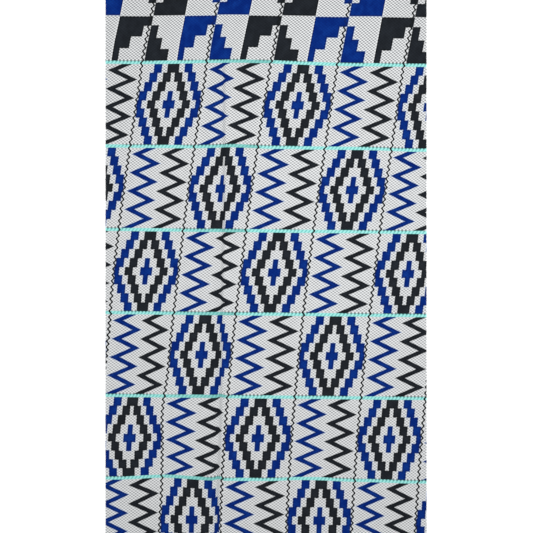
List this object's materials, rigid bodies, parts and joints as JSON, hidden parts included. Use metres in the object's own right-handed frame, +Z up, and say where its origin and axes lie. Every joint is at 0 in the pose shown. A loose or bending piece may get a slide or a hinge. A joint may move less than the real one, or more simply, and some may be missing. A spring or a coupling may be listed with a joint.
{
  "type": "wax print fabric",
  "caption": "Cut length of printed cotton cloth, strips of stepped lozenges and zigzags in blue, black and pale grey, lying face up on a surface in a long soft fold.",
  "frame": {"origin": "under the middle of the cloth, on the surface that it lies on", "axes": "+X across the printed strips, +Y along the cloth towards the border of steps, +Z up out of the printed face"},
  "size_m": [0.367, 0.69, 0.006],
  "materials": {
    "printed_cotton": "matt printed cotton, plain weave"
  },
  "bodies": {
    "root": {"cloth_length": "printed_cotton"}
  },
  "joints": []
}
